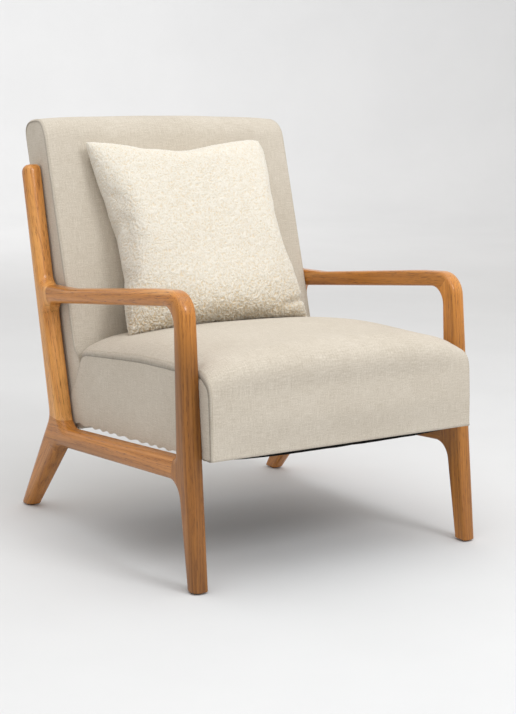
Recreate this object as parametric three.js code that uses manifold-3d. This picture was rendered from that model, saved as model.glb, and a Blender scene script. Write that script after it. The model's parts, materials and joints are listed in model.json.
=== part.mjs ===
// Open-sided wooden armchair: two sculpted oak side frames carry an upholstered seat and back,
// with a loose scatter cushion on the seat.
// Millimetres, +Z up. The sitter faces -Y, and +X is the sitter's left.
// The origin is on the floor, at the middle of the chair's footprint.

import * as THREE from 'three';
import { mergeVertices } from 'three/addons/utils/BufferGeometryUtils.js';
import Module from 'manifold-3d';

const wasm = await Module();
wasm.setup();

// ---------------------------------------------------------------- driving dimensions

const GAP = 0.3;                  // clearance between touching pieces
const RAD = Math.PI / 180;

const FRAME_CENTRE_X = 311;       // middle of each side frame, at the height of the side rail
const FRAME_THICK = 33;           // thickness of the side frames across the chair
const FRAME_ROUND = { outer: 12.5, inner: 5 };   // rounding of the frame's long edges
const FRAME_SPLAY = 0.45 * RAD;   // the frames stand wider apart at the feet
const SPLAY_PIVOT_Z = 250;
const FOOT_THICK = 30;            // thickness across the chair at the feet
const TAPER_START_Z = 240;        // the legs thin down below this height

const SEAT_ORIGIN = [-369, 234];  // y, z of the seat's lower front edge
const SEAT_TILT = 3.8 * RAD;      // the seat falls towards the back
const SEAT_HALF_WIDTH = 292.5;
const SEAT_DEPTH = 467;           // along the seat's bottom
const SEAT_HEIGHT = 158;

const BACK_ORIGIN = [100, 204];   // y, z of the back's lower front edge
const BACK_RAKE = 17.3 * RAD;     // the back leans away from upright
const BACK_HALF_WIDTH = 289;
const BACK_HEIGHT = 642;          // along the slope
const BACK_THICK = 91;

const FABRIC = 1.6;               // thickness of the upholstery fabric
const RAIL_THICK = 22;            // timber of the hidden seat and back frames
const SEAT_RAIL_HEIGHT = 58;
const BACK_STILE_DEPTH = 45;

const TENON_THICK = 10;           // of the loose tenon in each frame joint
const BOLT = { shank: 3, head: 7.5, headHeight: 4, headX: 268, reach: 14 };   // radii, lengths

const CUSHION = { width: 412, thick: 112, lean: 26 * RAD, turn: -3.8 * RAD, pull: 12 };
const CUSHION_CENTRE = [-14, 134, 578];

// ---------------------------------------------------------------- finishes

const finish = (color, roughness, metalness = 0) => ({ color, roughness, metalness });
const OAK = finish(0xb97f45, 0.38);
const OAK_DARK = finish(0x9c6330, 0.45);
const TIMBER = finish(0xc9a877, 0.8);
const LINEN = finish(0xd8cfbf, 0.95);
const FOAM = finish(0xece3c4, 0.95);
const BOUCLE = finish(0xe9dcc0, 1.0);
const DARK_CLOTH = finish(0x1d1c1c, 0.95);
const FELT = finish(0x8b8b86, 0.95);
const STEEL = finish(0xa9acb0, 0.35, 0.9);
const WEBBING = finish(0x57504a, 0.9);
const GLIDE = finish(0x3a332c, 0.7);

// ---------------------------------------------------------------- solids

// A closed three.js geometry as a solid, and back again.
function toSolid(geometry) {
  const bare = geometry.index ? geometry.toNonIndexed() : geometry.clone();
  bare.deleteAttribute('normal');
  bare.deleteAttribute('uv');
  const merged = mergeVertices(bare, 1e-4);
  const vertProperties = new Float32Array(merged.attributes.position.array);
  const triVerts = new Uint32Array(merged.index.array);
  return new wasm.Manifold(new wasm.Mesh({ numProp: 3, vertProperties, triVerts }));
}

function toGeometry(solid) {
  const mesh = solid.getMesh();
  const geometry = new THREE.BufferGeometry();
  geometry.setAttribute('position', new THREE.BufferAttribute(mesh.vertProperties, 3));
  geometry.setIndex(new THREE.BufferAttribute(mesh.triVerts, 1));
  geometry.computeVertexNormals();
  return geometry;
}

function cut(geometry, tools) {
  let solid = toSolid(geometry);
  for (const tool of tools) solid = solid.subtract(toSolid(tool));
  return toGeometry(solid);
}

// A block given by its lowest and highest corners.
function block(low, high) {
  const size = high.map((h, i) => h - low[i]);
  const geometry = new THREE.BoxGeometry(...size);
  return geometry.translate(...low.map((l, i) => l + size[i] / 2));
}

function node(name, geometry, look) {
  const mesh = new THREE.Mesh(geometry, new THREE.MeshStandardMaterial(look));
  mesh.name = name;
  return mesh;
}

// ---------------------------------------------------------------- side profiles

// Closed outline through corners [y, z, radius]: each corner is rounded by an arc.
function roundedOutline(corners, path = new THREE.Shape()) {
  const point = ([y, z]) => new THREE.Vector2(y, z);
  corners.forEach((corner, i) => {
    const here = point(corner);
    const before = point(corners.at(i - 1)).sub(here);
    const after = point(corners[(i + 1) % corners.length]).sub(here);
    const bend = Math.PI - Math.abs(before.angleTo(after));
    const reach = (corner[2] ?? 0) * Math.tan(bend / 2);
    const start = here.clone().addScaledVector(before.normalize(), reach);
    const end = here.clone().addScaledVector(after.normalize(), reach);
    if (i === 0) path.moveTo(start.x, start.y);
    else path.lineTo(start.x, start.y);
    if (reach > 0) arcThrough(path, start, end, here, corner[2]);
  });
  path.closePath();
  return path;
}

// Adds the arc of the given radius that touches both sides of a corner.
function arcThrough(path, start, end, corner, radius) {
  const middle = start.clone().add(end).multiplyScalar(0.5);
  const halfChord = start.distanceTo(end) / 2;
  const rise = Math.sqrt(Math.max(radius * radius - halfChord * halfChord, 0));
  const centre = middle.clone().addScaledVector(middle.clone().sub(corner).normalize(), rise);
  const from = Math.atan2(start.y - centre.y, start.x - centre.x);
  const to = Math.atan2(end.y - centre.y, end.x - centre.x);
  const sweep = Math.atan2(Math.sin(to - from), Math.cos(to - from));
  const steps = Math.max(2, Math.ceil(Math.abs(sweep) * Math.sqrt(radius) * 1.1));
  for (let k = 1; k <= steps; k++) {
    const angle = from + (sweep * k) / steps;
    path.lineTo(centre.x + radius * Math.cos(angle), centre.y + radius * Math.sin(angle));
  }
}

// Extrudes a side profile (drawn in y, z) across the chair from x = low to x = high.
function across(shape, low, high, round = 0, segments = 3) {
  const geometry = new THREE.ExtrudeGeometry(shape, {
    depth: high - low - 2 * round,
    steps: 1,
    curveSegments: 1,
    bevelEnabled: round > 0,
    bevelThickness: round,
    bevelSize: round,
    bevelOffset: -round,
    bevelSegments: segments,
  });
  const turn = new THREE.Matrix4().makeBasis(
    new THREE.Vector3(0, 1, 0), new THREE.Vector3(0, 0, 1), new THREE.Vector3(1, 0, 0));
  return geometry.applyMatrix4(turn).translate(low + round, 0, 0);
}

// ---------------------------------------------------------------- side frame

// The legs run on below the floor and are sawn off level with it.
const FRAME_OUTLINE = [
  [-374, 0, 60], [-348, 200, 700], [-336, 300, 900], [-309, 526.5, 47],
  [-205, 518.5, 900], [123, 477.5, 0], [231.5, 473, 24], [296, 712, 13.5], [328, 705, 16],
  [196, 212, 34], [326.5, 0, 60], [361, -40, 14], [314, -40, 14], [290.5, 0, 60],
  [157, 154.5, 17], [-307, 188.5, 37], [-343, 0, 60], [-341, -40, 14], [-383, -40, 14],
];
const FRAME_OPENING = [
  [-281, 497, 35], [-294, 300, 900], [-299, 229, 9], [144, 193.5, 34], [213, 438, 20],
];

// Joint lines of the side frame, each from one edge of the wood to the other.
const JOINTS = {
  corner: [[-262, 474], [-312, 538]],        // armrest to front leg, a mitre
  elbow: [[198, 424], [216, 500]],           // armrest to back post
  knuckle: [[216, 215], [84, 203]],          // back post to side rail
  shoulder: [[-291, 168], [-291, 240]],      // side rail to front leg
  hip: [[166, 136], [230, 184]],             // side rail to rear leg
};

// Part of the side plane that belongs to each member, along the joint lines.
const REGIONS = {
  armrest: [JOINTS.corner[1], JOINTS.corner[0], [0, 380], JOINTS.elbow[0], JOINTS.elbow[1],
    [0, 600]],
  back_post: [JOINTS.elbow[1], JOINTS.elbow[0], JOINTS.knuckle[1], JOINTS.knuckle[0],
    [420, 400], [420, 760], [216, 760]],
  side_rail: [JOINTS.knuckle[0], JOINTS.knuckle[1], [0, 300], JOINTS.shoulder[1],
    JOINTS.shoulder[0], [0, 100], JOINTS.hip[0], JOINTS.hip[1]],
  front_leg: [JOINTS.corner[0], JOINTS.corner[1], [-420, 560], [-420, -20], [-291, -20],
    JOINTS.shoulder[0], JOINTS.shoulder[1]],
  rear_leg: [JOINTS.hip[1], JOINTS.hip[0], [166, -20], [420, -20], [420, 184]],
};

// A flat slab standing on a joint line, used for the saw cut and for the loose tenon.
function slabOnJoint([a, b], along, through, thick) {
  const angle = Math.atan2(b[1] - a[1], b[0] - a[0]);
  const slab = new THREE.BoxGeometry(thick, along, through);
  return slab.rotateX(angle).translate(0, (a[0] + b[0]) / 2, (a[1] + b[1]) / 2);
}

const jointLength = ([a, b]) => Math.hypot(b[0] - a[0], b[1] - a[1]);

// Each joint's tenon: place is its middle, as a fraction of the joint line from its first end.
const TENONS = {
  corner: { place: 0.36, width: 14, length: 22 },
  elbow: { place: 0.46, width: 16, length: 40 },
  knuckle: { place: 0.33, width: 16, length: 40 },
  shoulder: { place: 0.52, width: 16, length: 40 },
  hip: { place: 0.5, width: 16, length: 40 },
};

function tenonSlab(joint, clearance) {
  const [a, b] = JOINTS[joint];
  const { place, width, length } = TENONS[joint];
  const middle = a.map((v, i) => v + (b[i] - v) * place);
  return slabOnJoint([[2 * middle[0] - b[0], 2 * middle[1] - b[1]], b],
    width + clearance, length + clearance, TENON_THICK + clearance);
}

const onPivot = (geometry) => geometry.translate(0, 0, -SPLAY_PIVOT_Z);

// Thins a frame solid towards the floor, about its own middle plane.
function taperFeet(geometry) {
  const position = geometry.attributes.position;
  for (let i = 0; i < position.count; i++) {
    const drop = THREE.MathUtils.clamp(1 - position.getZ(i) / TAPER_START_Z, 0, 1);
    position.setX(i, position.getX(i) * THREE.MathUtils.lerp(1, FOOT_THICK / FRAME_THICK, drop));
  }
  return geometry;
}

const SEAT_BOLTS = [[-316, 266], [-311, 312]];   // y, z, into the front leg
const BACK_BOLTS = [[198, 300], [211, 350]];     // y, z, into the back post
const BOLT_POINTS = [...SEAT_BOLTS, ...BACK_BOLTS];

function boltHole(y, z, radius, low, high) {
  const hole = new THREE.CylinderGeometry(radius, radius, high - low, 16);
  return hole.rotateZ(Math.PI / 2).translate((low + high) / 2, y, z);
}

// Clearance holes through the upholstery and its timber, each with a pocket for the bolt head.
function boltHoles(points, toLocal, sign) {
  const span = (from, to) => [sign * from, sign * to].sort((p, q) => p - q);
  const headEnd = BOLT.headX + BOLT.headHeight + GAP;
  return points.map(toLocal).flatMap((at) => [
    boltHole(at.x, at.y, BOLT.shank + GAP, ...span(BOLT.headX, FRAME_CENTRE_X)),
    boltHole(at.x, at.y, BOLT.head + GAP, ...span(BOLT.headX - RAIL_THICK, headEnd)),
  ]);
}

// The frame's wood in one piece, with full edges on the outside and firmer ones on the inside.
function frameWood(sign) {
  const outline = roundedOutline(FRAME_OUTLINE);
  outline.holes.push(roundedOutline(FRAME_OPENING, new THREE.Path()));
  const half = FRAME_THICK / 2;
  const faced = (round, direction) =>
    toSolid(taperFeet(across(outline, -half, half, round))).trimByPlane([direction, 0, 0], 0);
  return faced(FRAME_ROUND.outer, sign)
    .add(faced(FRAME_ROUND.inner, -sign))
    .subtract(toSolid(block([-100, -500, -100], [100, 500, 0])));
}

function sideFrame(side, sign) {
  const group = new THREE.Group();
  group.position.set(sign * FRAME_CENTRE_X, 0, SPLAY_PIVOT_Z);
  group.rotation.y = -sign * FRAME_SPLAY;
  let wood = frameWood(sign);
  for (const [name, line] of Object.entries(JOINTS)) {
    wood = wood.subtract(toSolid(slabOnJoint(line, jointLength(line), GAP, 2 * FRAME_THICK)));
    wood = wood.subtract(toSolid(tenonSlab(name, 2 * GAP)));
    group.add(node(`${side}_${name}_tenon`, onPivot(tenonSlab(name, 0)), OAK_DARK));
  }
  for (const [y, z] of BOLT_POINTS) {
    const inner = -sign * (FRAME_THICK / 2 + 1);
    const deep = inner + sign * (BOLT.reach + 4);
    const [low, high] = [inner, deep].sort((p, q) => p - q);
    wood = wood.subtract(toSolid(boltHole(y, z, BOLT.shank + 2 * GAP, low, high)));
  }
  for (const [name, region] of Object.entries(REGIONS)) {
    const prism = across(roundedOutline(region), -FRAME_THICK, FRAME_THICK);
    group.add(node(`${side}_${name}`, onPivot(toGeometry(wood.intersect(toSolid(prism)))), OAK));
  }
  return group;
}

// ---------------------------------------------------------------- fabric skins and foam

// Outline that stands inside a chain of corners by the given distance.
function inset(corners, distance) {
  return corners.map(([y, z, r], i) => {
    const before = corners.at(i - 1);
    const after = corners[(i + 1) % corners.length];
    const first = new THREE.Vector2(y - before[0], z - before[1]).normalize();
    const second = new THREE.Vector2(after[0] - y, after[1] - z).normalize();
    const cross = first.x * second.y - first.y * second.x;
    const shift = second.clone().sub(first).multiplyScalar(distance / cross);
    return [y + shift.x, z + shift.y, Math.max((r ?? 0) - distance, 0)];
  });
}

const SEAT_CORNERS = [[0, 0, 0], [SEAT_DEPTH, 0, 0], [SEAT_DEPTH + 38, SEAT_HEIGHT - 6, 34],
  [250, SEAT_HEIGHT + 3, 900], [2, SEAT_HEIGHT - 3, 42]];
const BACK_CORNERS = [[0, 0, 0], [BACK_THICK, 0, 0], [BACK_THICK, BACK_HEIGHT, 19],
  [0, BACK_HEIGHT - 14, 46]];

// A wrapped panel: one strip of fabric round the profile, open along the edge from the
// first corner to the second.
function wrap(corners, halfWidth) {
  const outer = across(roundedOutline(corners), -halfWidth, halfWidth);
  const core = inset(corners, FABRIC);
  const floor = -3 * FABRIC;
  const hollow = [[core[0][0], floor], [core[1][0], floor], ...core.slice(1), core[0]];
  return cut(outer, [across(roundedOutline(hollow), -2 * halfWidth, 2 * halfWidth)]);
}

// The flat side panel closes the end of the profile.
function endPanel(corners, halfWidth, sign, holes) {
  const [low, high] = [sign * halfWidth, sign * (halfWidth - FABRIC)].sort((p, q) => p - q);
  return cut(across(roundedOutline(corners), low, high), holes);
}

// ---------------------------------------------------------------- seat

const SEAT_INNER = SEAT_HALF_WIDTH - FABRIC - GAP;          // half width inside the fabric
const SEAT_FLOOR = 2.4;                                     // underside of the seat timber
const RAIL_TOP = SEAT_FLOOR + SEAT_RAIL_HEIGHT;
const SEAT_RAIL_ENDS = [4, SEAT_DEPTH - 3];                 // front and back of the timber
const SPRING_Z = RAIL_TOP + 5;                              // springs lie over the rails
const SPRING_WIRE = 1.9;
const SPRING_XS = [-192, -64, 64, 192];
const SPRING_COVER_Z = SPRING_Z + SPRING_WIRE + 1;

// Turns a point of the side plane into the seat's own tilted plane.
function toSeat([y, z]) {
  const point = new THREE.Vector2(y - SEAT_ORIGIN[0], z - SEAT_ORIGIN[1]);
  return point.rotateAround(new THREE.Vector2(), SEAT_TILT);
}

function zigzagSpring(x, fromY, toY) {
  const swing = 21;
  const turns = 10;
  const points = [];
  for (let i = 0; i <= turns * 4; i++) {
    const t = i / (turns * 4);
    const y = THREE.MathUtils.lerp(fromY, toY, t);
    const crown = 4 * Math.sin(Math.PI * t);
    points.push(new THREE.Vector3(x + swing * Math.sin(2 * Math.PI * turns * t), y,
      SPRING_Z + crown));
  }
  const wire = new THREE.Shape();
  wire.absarc(0, 0, SPRING_WIRE, 0, 2 * Math.PI);
  return new THREE.ExtrudeGeometry(wire, {
    steps: turns * 6, curveSegments: 3, bevelEnabled: false,
    extrudePath: new THREE.CatmullRomCurve3(points),
  });
}

function seatRails() {
  const inner = SEAT_INNER - GAP;
  const [front, back] = SEAT_RAIL_ENDS;
  const endRail = (low, high) => block(
    [-inner + RAIL_THICK + GAP, low, SEAT_FLOOR], [inner - RAIL_THICK - GAP, high, RAIL_TOP]);
  const sideRail = (sign) => {
    const xs = [sign * inner, sign * (inner - RAIL_THICK)].sort((p, q) => p - q);
    return cut(block([xs[0], front, SEAT_FLOOR], [xs[1], back, SIDE_RAIL_TOP]),
      boltHoles(SEAT_BOLTS, toSeat, sign));
  };
  return [
    node('seat_frame_front_rail', endRail(front, front + RAIL_THICK), TIMBER),
    node('seat_frame_rear_rail', endRail(back - RAIL_THICK, back), TIMBER),
    node('seat_frame_left_rail', sideRail(1), TIMBER),
    node('seat_frame_right_rail', sideRail(-1), TIMBER),
  ];
}

const SIDE_RAIL_TOP = RAIL_TOP + 34;      // the side rails stand taller, to take the leg bolts

function seatUnit() {
  const group = new THREE.Group();
  group.position.set(0, ...SEAT_ORIGIN);
  group.rotation.x = -SEAT_TILT;
  group.add(...seatRails());
  const [front, back] = SEAT_RAIL_ENDS;
  SPRING_XS.forEach((x, i) => {
    const spring = zigzagSpring(x, front + 8, back - 8);
    group.add(node(`seat_spring_${i + 1}`, spring, STEEL));
  });
  const padHalf = SEAT_INNER - RAIL_THICK - 3 * GAP;
  const coverTop = SPRING_COVER_Z + 4 + 3;
  group.add(node('spring_cover', block([-padHalf, front + 2, SPRING_COVER_Z + 4],
    [padHalf, back - 2, coverTop]), FELT));
  const foam = toSolid(across(roundedOutline(inset(SEAT_CORNERS, FABRIC + GAP)),
    -SEAT_INNER, SEAT_INNER));
  const under = block([-padHalf - GAP, -20, -20], [padHalf + GAP, SEAT_DEPTH + 60, coverTop + GAP]);
  const over = block([-400, -20, -20], [400, SEAT_DEPTH + 60, SIDE_RAIL_TOP + GAP]);
  group.add(node('seat_foam', toGeometry(foam.subtract(toSolid(under)).subtract(toSolid(over))
    .add(foam.intersect(toSolid(block([-padHalf, -20, coverTop + GAP],
      [padHalf, SEAT_DEPTH + 60, SIDE_RAIL_TOP + 1]))))), FOAM));
  const panelHalf = SEAT_HALF_WIDTH - FABRIC - GAP;
  group.add(node('seat_top_panel', wrap(SEAT_CORNERS, panelHalf), LINEN));
  for (const [side, sign] of [['left', 1], ['right', -1]]) {
    group.add(node(`seat_${side}_side_panel`,
      endPanel(SEAT_CORNERS, SEAT_HALF_WIDTH, sign, boltHoles(SEAT_BOLTS, toSeat, sign)),
      LINEN));
  }
  group.add(node('seat_dust_cover', block([-SEAT_INNER + 6, front + 4, 0.6],
    [SEAT_INNER - 6, back - 4, 1.8]), DARK_CLOTH));
  return group;
}

// ---------------------------------------------------------------- back

const BACK_INNER = BACK_HALF_WIDTH - FABRIC - GAP;
const WEBBING_HEIGHTS = [230, 350, 470];

function toBack([y, z]) {
  const point = new THREE.Vector2(y - BACK_ORIGIN[0], z - BACK_ORIGIN[1]);
  return point.rotateAround(new THREE.Vector2(), BACK_RAKE);
}

function backUnit() {
  const group = new THREE.Group();
  group.position.set(0, ...BACK_ORIGIN);
  group.rotation.x = -BACK_RAKE;
  const inner = BACK_INNER - GAP;
  const rear = BACK_THICK - FABRIC - GAP;
  const stileFront = rear - BACK_STILE_DEPTH;
  const low = 3;
  const high = BACK_HEIGHT - 60;
  for (const [side, sign] of [['left', 1], ['right', -1]]) {
    const xs = [sign * inner, sign * (inner - RAIL_THICK)].sort((p, q) => p - q);
    const holes = boltHoles(BACK_BOLTS, toBack, sign);
    group.add(node(`back_frame_${side}_stile`,
      cut(block([xs[0], stileFront, low], [xs[1], rear, high]), holes), TIMBER));
    group.add(node(`back_${side}_side_panel`,
      endPanel(BACK_CORNERS, BACK_HALF_WIDTH, sign, holes), LINEN));
  }
  const railHalf = inner - RAIL_THICK - GAP;
  const rails = { bottom: [low, low + 70], top: [high - 60, high] };
  for (const [name, [from, to]] of Object.entries(rails)) {
    group.add(node(`back_frame_${name}_rail`,
      block([-railHalf, rear - RAIL_THICK, from], [railHalf, rear, to]), TIMBER));
  }
  WEBBING_HEIGHTS.forEach((z, i) => {
    group.add(node(`back_webbing_${i + 1}`,
      block([-inner + 2, stileFront - 2, z], [inner - 2, stileFront - GAP, z + 60]), WEBBING));
  });
  const foam = toSolid(across(roundedOutline(inset(BACK_CORNERS, FABRIC + GAP)),
    -BACK_INNER, BACK_INNER));
  const behind = block([-400, stileFront - 2 - GAP, -20], [400, 400, high + GAP]);
  group.add(node('back_foam', toGeometry(foam.subtract(toSolid(behind))), FOAM));
  const panelHalf = BACK_HALF_WIDTH - FABRIC - GAP;
  const rearTop = BACK_HEIGHT - 24;
  const behindFrame = block([-400, rear, -20], [400, 2 * BACK_THICK, rearTop + GAP]);
  group.add(node('back_front_panel', cut(wrap(BACK_CORNERS, panelHalf), [behindFrame]), LINEN));
  group.add(node('back_rear_panel', block([-panelHalf, BACK_THICK - FABRIC, 0],
    [panelHalf, BACK_THICK, rearTop]), LINEN));
  return group;
}

// ---------------------------------------------------------------- fasteners and feet

const GLIDE_RADIUS = 9.5;
const GLIDE_HEIGHT = 2.4;

// Bolt through the hidden timber into the side frame, with its head inside.
function frameBolt(y, z, sign) {
  const tip = FRAME_CENTRE_X - FRAME_THICK / 2 + BOLT.reach;
  const start = BOLT.headX;
  const profile = [[0, 0], [BOLT.head, 0], [BOLT.head, BOLT.headHeight],
    [BOLT.shank, BOLT.headHeight], [BOLT.shank, tip - start], [0, tip - start]];
  const bolt = new THREE.LatheGeometry(profile.map(([r, h]) => new THREE.Vector2(r, h)), 12);
  return bolt.rotateZ(-sign * Math.PI / 2).translate(sign * start, y, z);
}

// Felt disc under a foot, a little below the sole.
function glide(x, y) {
  const disc = new THREE.CylinderGeometry(GLIDE_RADIUS, GLIDE_RADIUS, GLIDE_HEIGHT, 20);
  return disc.rotateX(Math.PI / 2).translate(x, y, -GLIDE_HEIGHT / 2 - 2 * GAP);
}

function fixings() {
  const group = new THREE.Group();
  const rows = ['front_lower', 'front_upper', 'rear_lower', 'rear_upper'];
  for (const [side, sign] of [['left', 1], ['right', -1]]) {
    BOLT_POINTS.forEach(([y, z], i) => {
      group.add(node(`${side}_${rows[i]}_bolt`, frameBolt(y, z, sign), STEEL));
    });
    const footX = FRAME_CENTRE_X + SPLAY_PIVOT_Z * Math.sin(FRAME_SPLAY);
    group.add(node(`${side}_front_glide`, glide(sign * footX, -358), GLIDE));
    group.add(node(`${side}_rear_glide`, glide(sign * footX, 309), GLIDE));
  }
  return group;
}

// ---------------------------------------------------------------- scatter cushion

// Pillow form over a square: full in the middle, pinched at the rim, sides drawn in.
function pillow(width, thick, rim, cells = 16) {
  const geometry = new THREE.BoxGeometry(2, 2, 2, cells, cells, 1);
  const position = geometry.attributes.position;
  for (let i = 0; i < position.count; i++) {
    const u = position.getX(i);
    const v = position.getY(i);
    const full = ((1 - u ** 4) * (1 - v ** 4)) ** 0.62;
    const pull = CUSHION.pull / (width / 2);
    position.setXYZ(i,
      (width / 2) * u * (1 - pull * (1 - v * v)),
      (width / 2) * v * (1 - pull * (1 - u * u)),
      position.getZ(i) * (rim + (thick / 2 - rim) * full));
  }
  return geometry;
}

function scatterCushion() {
  const group = new THREE.Group();
  group.position.set(...CUSHION_CENTRE);
  group.rotation.set(Math.PI / 2 - CUSHION.lean, CUSHION.turn, 0, 'XYZ');
  group.add(node('scatter_cushion', pillow(CUSHION.width, CUSHION.thick, 4), BOUCLE));
  return group;
}

// ---------------------------------------------------------------- the chair

const chair = new THREE.Group();
chair.add(sideFrame('left', 1), sideFrame('right', -1));
chair.add(seatUnit(), backUnit(), fixings(), scatterCushion());

// The origin is the middle of the footprint, on the floor.
const bounds = new THREE.Box3().setFromObject(chair, true);
const middle = bounds.getCenter(new THREE.Vector3());
chair.position.set(-middle.x, -middle.y, -bounds.min.z);

export default chair;
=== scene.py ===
"""Looks of the wooden armchair: varnished oak frames, linen-look seat and back, boucle cushion.

Metres, in the frame's own axes: +Z up, and the sitter faces -Y.
"""

import json
import math

import bmesh
import bpy
import numpy as np
from mathutils import Matrix, Vector, noise
from mathutils.bvhtree import BVHTree


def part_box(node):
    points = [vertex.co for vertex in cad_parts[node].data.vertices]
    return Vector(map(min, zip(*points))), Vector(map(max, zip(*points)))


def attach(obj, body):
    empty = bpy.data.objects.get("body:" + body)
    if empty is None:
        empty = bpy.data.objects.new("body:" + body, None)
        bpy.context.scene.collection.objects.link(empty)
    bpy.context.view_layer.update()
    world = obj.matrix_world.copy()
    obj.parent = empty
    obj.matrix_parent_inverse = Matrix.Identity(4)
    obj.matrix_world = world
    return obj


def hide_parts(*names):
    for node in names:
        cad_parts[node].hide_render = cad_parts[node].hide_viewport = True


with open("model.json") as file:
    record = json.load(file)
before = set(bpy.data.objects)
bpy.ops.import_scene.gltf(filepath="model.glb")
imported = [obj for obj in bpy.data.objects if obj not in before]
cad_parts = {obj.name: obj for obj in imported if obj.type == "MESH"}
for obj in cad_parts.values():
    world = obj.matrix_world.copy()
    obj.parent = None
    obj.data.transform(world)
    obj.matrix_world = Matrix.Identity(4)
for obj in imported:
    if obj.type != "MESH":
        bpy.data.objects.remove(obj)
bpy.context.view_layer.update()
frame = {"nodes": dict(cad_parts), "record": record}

MM = 0.001

# ------------------------------ small helpers


def new_object(name, mesh):
    obj = bpy.data.objects.new(name, mesh)
    bpy.context.scene.collection.objects.link(obj)
    return obj


def mesh_object(name, bm):
    """Turns a bmesh into an object, and frees it."""
    mesh = bpy.data.meshes.new(name)
    bm.to_mesh(mesh)
    bm.free()
    return new_object(name, mesh)


def grid_object(name, points, closed=False):
    """Quad mesh over points[row, column]. closed joins the last column to the first."""
    rows, cols = points.shape[:2]
    faces = []
    for i in range(rows - 1):
        for j in range(cols if closed else cols - 1):
            k = (j + 1) % cols
            faces.append((i * cols + j, i * cols + k, (i + 1) * cols + k, (i + 1) * cols + j))
    mesh = bpy.data.meshes.new(name)
    mesh.from_pydata(points.reshape(-1, 3).tolist(), [], faces)
    mesh.validate()
    return new_object(name, mesh)


def shade_smooth(obj):
    obj.data.polygons.foreach_set("use_smooth", [True] * len(obj.data.polygons))
    obj.data.update()


def coordinates(mesh):
    co = np.empty(len(mesh.vertices) * 3)
    mesh.vertices.foreach_get("co", co)
    return co.reshape(-1, 3)


def set_coordinates(mesh, co):
    mesh.vertices.foreach_set("co", np.ascontiguousarray(co, dtype=float).ravel())
    mesh.update()


def set_vectors(mesh, name, values):
    """Stores one vector for each vertex, which a material reads as an attribute."""
    attribute = mesh.attributes.new(name, "FLOAT_VECTOR", "POINT")
    attribute.data.foreach_set("vector", np.ascontiguousarray(values, dtype=float).ravel())


def apply_modifiers(obj):
    graph = bpy.context.evaluated_depsgraph_get()
    mesh = bpy.data.meshes.new_from_object(obj.evaluated_get(graph))
    obj.modifiers.clear()
    obj.data = mesh
    return obj


def modifier(obj, kind, **settings):
    mod = obj.modifiers.new(kind.title(), kind)
    for key, value in settings.items():
        setattr(mod, key, value)
    return mod


def smoothstep(value, low, high):
    t = np.clip((value - low) / (high - low), 0, 1)
    return t * t * (3 - 2 * t)


def finished(obj, body, material, *nodes, slot=None):
    """Gives a piece its material and body, and hides the CAD nodes that it stands for."""
    obj.data.materials.clear()
    obj.data.materials.append(material)
    shade_smooth(obj)
    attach(obj, body)
    if nodes:
        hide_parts(*nodes)


# ------------------------------ shader helpers


class Graph:
    """A material's node tree, built by calls that return output sockets."""

    def __init__(self, name):
        self.material = bpy.data.materials.new(name)
        self.material.use_nodes = True
        self.tree = self.material.node_tree
        self.tree.nodes.clear()

    def add(self, kind, inputs=None, output=0, **props):
        node = self.tree.nodes.new(kind)
        for key, value in props.items():
            setattr(node, key, value)
        for key, value in (inputs or {}).items():
            if isinstance(value, bpy.types.NodeSocket):
                self.tree.links.new(value, node.inputs[key])
            else:
                node.inputs[key].default_value = value
        return node.outputs[output] if len(node.outputs) else node

    def math(self, operation, a, b=0.0):
        return self.add("ShaderNodeMath", {0: a, 1: b}, operation=operation)

    def vector(self, operation, a, b=(0, 0, 0), output=0):
        return self.add("ShaderNodeVectorMath", {0: a, 1: b}, output, operation=operation)

    def attribute(self, name):
        return self.add("ShaderNodeAttribute", output=1, attribute_name=name)

    def noise(self, vector, scale, detail=2.0, rough=0.5):
        inputs = {"Vector": vector, "Scale": scale, "Detail": detail, "Roughness": rough}
        return self.add("ShaderNodeTexNoise", inputs)

    def ramp(self, factor, stops):
        node = self.tree.nodes.new("ShaderNodeValToRGB")
        self.tree.links.new(factor, node.inputs[0])
        ramp = node.color_ramp
        while len(ramp.elements) < len(stops):
            ramp.elements.new(0.5)
        for element, (position, value) in zip(ramp.elements, stops):
            element.position = position
            rgb = (value,) * 3 if isinstance(value, (int, float)) else value
            element.color = (*rgb, 1)
        return node.outputs[0]

    def mix(self, factor, a, b, blend="MIX"):
        a = (*a, 1) if isinstance(a, tuple) else a
        b = (*b, 1) if isinstance(b, tuple) else b
        return self.add("ShaderNodeMix", {0: factor, 6: a, 7: b}, 2,
                        data_type="RGBA", blend_type=blend)

    def bump(self, height, distance, strength):
        inputs = {"Height": height, "Distance": distance, "Strength": strength}
        return self.add("ShaderNodeBump", inputs)

    def finish(self, **inputs):
        named = {key.replace("_", " "): value for key, value in inputs.items()}
        shader = self.add("ShaderNodeBsdfPrincipled", named)
        self.add("ShaderNodeOutputMaterial", {"Surface": shader})
        return self.material


# ------------------------------ materials

RING_PITCH = 3.7 * MM


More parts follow.
